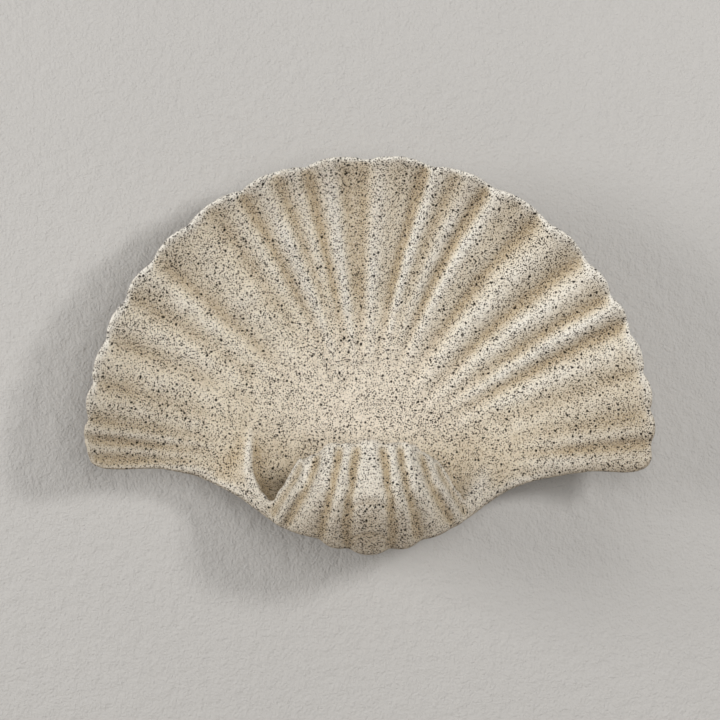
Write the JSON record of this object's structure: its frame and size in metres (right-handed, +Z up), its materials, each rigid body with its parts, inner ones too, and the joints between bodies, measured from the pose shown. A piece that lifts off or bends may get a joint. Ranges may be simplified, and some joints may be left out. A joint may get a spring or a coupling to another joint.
{
  "type": "wall sconce",
  "caption": "Scallop shell wall sconce in speckled cast stone, with a lamp hidden in a pocket behind its ribbed lip.",
  "frame": {"origin": "on the wall face, midway between the two wall screw slots of the plate", "axes": "+X to the right seen from the front, +Y into the wall, +Z up; the front of the shell faces -Y"},
  "size_m": [0.3617, 0.0984, 0.2511],
  "materials": {
    "shell_stone": "matt cast stone mix, cream with fine dark specks and a warm tint in the grooves",
    "zinc_steel": "satin, bright zinc",
    "screw_steel": "satin",
    "brass": "satin, slightly dulled",
    "foam": "matt closed-cell foam",
    "grommet_rubber": "matt",
    "fibre": "matt vulcanised fibre",
    "nylon": "semi-matt natural white",
    "porcelain": "matt unglazed",
    "live_sheath": "semi-matt brown",
    "neutral_sheath": "semi-matt blue",
    "earth_sheath": "semi-matt green with a yellow stripe",
    "lamp_glass": "clear",
    "lamp_ceramic": "satin white",
    "phosphor": "matt yellow"
  },
  "bodies": {
    "fixed_body": {"shell_body": "shell_stone", "shell_boss": "shell_stone", "back_gasket": "foam", "wall_plate": "zinc_steel", "shell_studs": "screw_steel", "stud_washers": "fibre", "threaded_tube": "brass", "tube_nut_front": "brass", "tube_nut_back": "brass", "tube_washers": "zinc_steel", "tube_bush": "nylon", "terminal_block": "nylon", "terminal_clamps": "brass", "terminal_screws": "screw_steel", "block_screw": "screw_steel", "cable_grommet": "grommet_rubber", "earth_tag": "brass", "earth_washer": "screw_steel", "earth_screw": "screw_steel", "live_wire": "live_sheath", "neutral_wire": "neutral_sheath", "earth_wire": "earth_sheath", "lamp_bracket": "zinc_steel", "lampholder_body": "porcelain", "lampholder_contacts": "brass", "lampholder_screws": "screw_steel"},
    "bulb": {"bulb_base": "lamp_ceramic", "bulb_pins": "screw_steel", "bulb_envelope": "lamp_glass", "led_core": "phosphor"},
    "cap_nut_left": {"cap_nut_left": "brass"},
    "cap_nut_right": {"cap_nut_right": "brass"}
  },
  "joints": [
    {"name": "bulb_pull", "type": "slide", "parent": "fixed_body", "child": "bulb", "axis": [0, 0, 1], "range_m": [0, 0.012]},
    {"name": "cap_nut_left_turn", "type": "hinge", "parent": "fixed_body", "child": "cap_nut_left", "pos_m": [-0.024, -0.031, -0.014], "axis": [0, -1, 0], "continuous": true},
    {"name": "cap_nut_right_turn", "type": "hinge", "parent": "fixed_body", "child": "cap_nut_right", "pos_m": [0.024, -0.031, -0.014], "axis": [0, -1, 0], "continuous": true}
  ]
}
